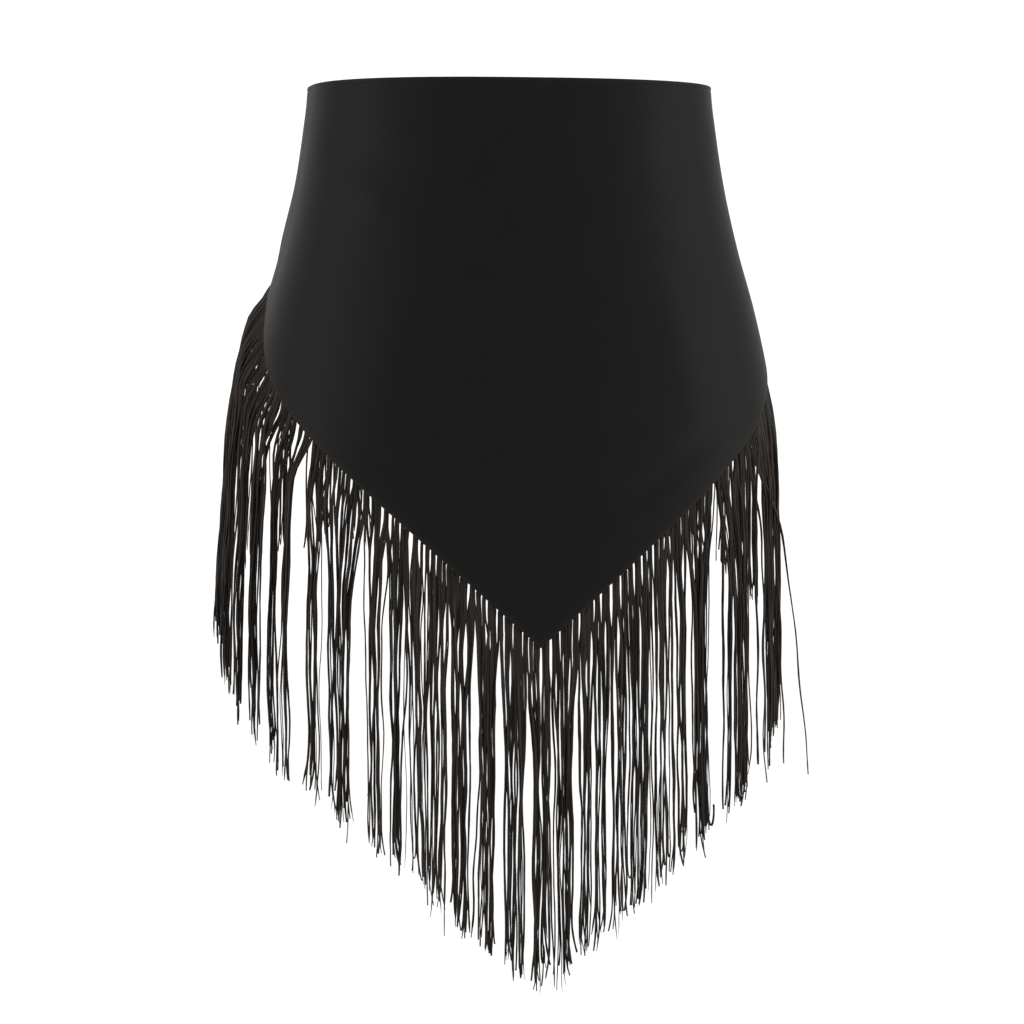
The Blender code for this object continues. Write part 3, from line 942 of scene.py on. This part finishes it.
def lay_lengths(tree):
    """The two sides of the Lay map: round the belt, or as a share round a cord, and down."""
    lay = add_node(tree, "ShaderNodeUVMap", uv_map="Lay").outputs["UV"]
    split = add_node(tree, "ShaderNodeSeparateXYZ", {"Vector": lay})
    return split.outputs["X"], split.outputs["Y"]


def tone_of(tree):
    """How rubbed the cloth is, or the tone of a cord."""
    return add_node(tree, "ShaderNodeAttribute", attribute_name="tone").outputs["Fac"]


def connect(tree, shader, colour, roughness, normal=None):
    """Give the shader what varies over the surface."""
    tree.links.new(colour, shader.inputs["Base Color"])
    tree.links.new(roughness, shader.inputs["Roughness"])
    if normal is not None:
        tree.links.new(normal, shader.inputs["Normal"])


def noise(tree, vector, scale, detail=2.0, roughness=0.5):
    inputs = {"Vector": vector, "Scale": scale, "Detail": detail, "Roughness": roughness}
    return add_node(tree, "ShaderNodeTexNoise", inputs).outputs["Fac"]


def ripple(tree, value, period):
    """A rounded ridge of height 1 once in each period of a length, and 0 between the ridges."""
    turned = maths(tree, "MULTIPLY", value, FULL_TURN / period)
    return spread_range(tree, maths(tree, "SINE", turned), 0.0, 1.0)


def bump(tree, height, strength, distance, normal=None):
    inputs = {"Height": height, "Strength": strength, "Distance": distance}
    if normal is not None:
        inputs["Normal"] = normal
    return add_node(tree, "ShaderNodeBump", inputs).outputs["Normal"]


def cloth_material():
    """Smooth matt black cloth: a fine dense weave under a short nap, with a warm sheen."""
    material, tree, shader = new_material(
        "belt_cloth_fine", Specular_IOR_Level=0.025, Sheen_Weight=0.02, Sheen_Roughness=0.5,
        Sheen_Tint=(1.0, 0.93, 0.90, 1.0),
    )
    across, down = lay_lengths(tree)
    weave = maths(tree, "MULTIPLY", ripple(tree, across, WARP_PITCH), ripple(tree, down, WEFT_PITCH))
    spot = object_place(tree)
    nap = noise(tree, spot, scale=1500.0, detail=3.0, roughness=0.65)
    brushed = noise(tree, spot, scale=38.0, detail=3.0, roughness=0.55)
    broad = noise(tree, spot, scale=9.0)
    mottle = weighted(tree, brushed, 0.55, broad, 0.45)
    colour = blend_colours(tree, weighted(tree, mottle, 0.7, weave, 0.3), *BLACK_CLOTH)
    worn = maths(tree, "MULTIPLY", tone_of(tree), spread_range(tree, nap, 0.25, 0.75))
    colour = blend_colours(tree, worn, colour, RUBBED_CLOTH)
    uneven = bump(tree, brushed, strength=0.12, distance=0.0006)
    height = weighted(tree, weave, 0.5, nap, 0.6)
    normal = bump(tree, height, strength=0.30, distance=0.00008, normal=uneven)
    connect(tree, shader, colour, spread_range(tree, mottle, 0.42, 0.56), normal)
    return material


def thread_material():
    """Black chainette cord: rows of small slanting stitches with a soft gloss."""
    material, tree, shader = new_material("fringe_thread_fine", Specular_IOR_Level=0.05)
    round_it, along = lay_lengths(tree)
    half_turn = maths(tree, "FRACT", maths(tree, "MULTIPLY", round_it, 2.0))
    chevron = maths(tree, "ABSOLUTE", maths(tree, "SUBTRACT", half_turn, 0.5))
    stitches = ripple(tree, maths(tree, "MULTIPLY_ADD", chevron, STITCH_SLANT, along), STITCH_PITCH)
    spot, tone = object_place(tree), tone_of(tree)
    fibre = noise(tree, spot, scale=2600.0, roughness=0.6)
    patches = noise(tree, spot, scale=60.0)
    light = maths(tree, "ADD", maths(tree, "MULTIPLY", stitches, 0.5), tone)
    colour = blend_colours(tree, maths(tree, "MULTIPLY", light, 0.66), *BLACK_THREAD)
    gloss = maths(tree, "MULTIPLY", maths(tree, "ADD", patches, tone), 0.5)
    height = maths(tree, "ADD", stitches, maths(tree, "MULTIPLY", fibre, 0.5))
    normal = bump(tree, height, strength=0.55, distance=0.00012)
    connect(tree, shader, colour, spread_range(tree, gloss, 0.34, 0.62), normal)
    return material


def tape_material():
    """The fringe's header tape: chain stitches along it, crossed by the cords' ends."""
    material, tree, shader = new_material("header_tape", Specular_IOR_Level=0.10, Sheen_Weight=0.02)
    along, down = lay_lengths(tree)
    stitches = maths(tree, "MULTIPLY", ripple(tree, along, CHAIN_PITCH), ripple(tree, down, ROW_PITCH))
    fibre = noise(tree, object_place(tree), scale=1800.0, roughness=0.6)
    share = maths(tree, "MULTIPLY_ADD", fibre, 0.5, maths(tree, "MULTIPLY", stitches, 0.5))
    colour = blend_colours(tree, share, *BLACK_TAPE)
    normal = bump(tree, share, strength=0.6, distance=0.0002)
    connect(tree, shader, colour, spread_range(tree, fibre, 0.55, 0.85), normal)
    return material


def fastener_material(name, scale, depth):
    """Hook or loop tape: a field of tiny raised threads."""
    material, tree, shader = new_material(name, Specular_IOR_Level=0.12)
    spot = object_place(tree)
    cells = add_node(tree, "ShaderNodeTexVoronoi", {"Vector": spot, "Scale": scale}).outputs["Distance"]
    fibre = noise(tree, spot, scale=3.0 * scale, roughness=0.6)
    share = maths(tree, "MULTIPLY_ADD", fibre, 0.5, maths(tree, "MULTIPLY", cells, 0.5))
    colour = blend_colours(tree, share, *BLACK_TAPE)
    normal = bump(tree, share, strength=0.8, distance=depth)
    connect(tree, shader, colour, spread_range(tree, fibre, 0.6, 0.95), normal)
    return material


def floor_material():
    material, tree, shader = new_material("pale_floor", Specular_IOR_Level=0.2)
    grain = noise(tree, object_place(tree), scale=3.0, detail=4.0, roughness=0.6)
    dull = tuple(FLOOR_DULL * value for value in PALE_FLOOR[:3]) + (1.0,)
    connect(tree, shader, blend_colours(tree, grain, dull, PALE_FLOOR), spread_range(tree, grain, 0.75, 0.9))
    return material


def dress_fasteners():
    """The hook tape and the loop tape keep their solids' shape, with a finer finish."""
    finishes = {
        "hook_tape": fastener_material("hook_threads", 900.0, 0.0004),
        "loop_tape": fastener_material("loop_threads", 1400.0, 0.0003),
    }
    for node, finish in finishes.items():
        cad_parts[node].data.materials[0] = finish


def build_belt():
    cloth, thread, woven = cloth_material(), thread_material(), tape_material()
    tuck = turn_of(SEAM_CLOSE, SIDE)
    front = panel("front_cloth", -SIDE - tuck, SIDE + tuck, level, cloth, 1)
    back_left = panel("back_left_cloth", SIDE - tuck, LAP_END, lap_lift, cloth, 1)
    back_right = panel("back_right_cloth", SIDE - tuck, LAP_END, level, cloth, -1)
    left_tape = tape("left_header", lap_lift, woven, 1)
    right_tape = tape("right_header", level, woven, -1)
    left_cords = fringe("left_cords", lap_lift, thread, 1, SEED)
    right_cords = fringe("right_cords", level, thread, -1, SEED + 1)

    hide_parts("front_panel")
    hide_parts("back_left_panel")
    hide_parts("back_right_panel")
    for piece in (left_tape, left_cords):
        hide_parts("fringe_left")
    for piece in (right_tape, right_cords):
        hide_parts("fringe_right")


def area_light(name, spot, size, power, colour):
    """A soft light that faces the belt."""
    light = bpy.data.lights.new(name, "AREA")
    light.shape = "RECTANGLE"
    light.size, light.size_y = size
    light.energy = power
    light.color = colour
    lamp = bpy.data.objects.new(name, light)
    lamp.location = spot
    lamp.rotation_euler = (Vector(LIGHT_AIM) - Vector(spot)).to_track_quat("-Z", "Y").to_euler()
    bpy.context.scene.collection.objects.link(lamp)


def build_stage():
    half = FLOOR_SIZE / 2.0
    mesh = bpy.data.meshes.new("floor")
    corners = [(-half, -half, 0.0), (half, -half, 0.0), (half, half, 0.0), (-half, half, 0.0)]
    mesh.from_pydata(corners, [], [(0, 1, 2, 3)])
    mesh.materials.append(floor_material())
    floor = bpy.data.objects.new("floor", mesh)
    floor.location.z = FLOOR_HEIGHT
    bpy.context.scene.collection.objects.link(floor)

    world = bpy.data.worlds.new("studio")
    world.use_nodes = True
    background = world.node_tree.nodes["Background"]
    background.inputs["Color"].default_value = WHITE + (1.0,)
    background.inputs["Strength"].default_value = ROOM_STRENGTH
    bpy.context.scene.world = world
    bpy.context.scene.view_settings.view_transform = "Standard"
    for name, (spot, size, power, colour) in LIGHTS.items():
        area_light(name, spot, size, power, colour)


def build_camera():
    azimuth = math.radians(CAMERA_AZIMUTH)
    camera = bpy.data.cameras.new("camera")
    camera.sensor_width = SENSOR
    camera.lens = SENSOR * CAMERA_DISTANCE / FRAME_WIDTH
    rig = bpy.data.objects.new("camera", camera)
    back = Vector((math.sin(azimuth), -math.cos(azimuth), 0.0))
    right = Vector((math.cos(azimuth), math.sin(azimuth), 0.0))
    rig.location = back * CAMERA_DISTANCE + right * CAMERA_ASIDE + Vector((0.0, 0.0, CAMERA_HEIGHT))
    rig.rotation_euler = (math.pi / 2.0, 0.0, azimuth)
    bpy.context.scene.collection.objects.link(rig)
    bpy.context.scene.camera = rig


build_belt()
dress_fasteners()
build_stage()
build_camera()
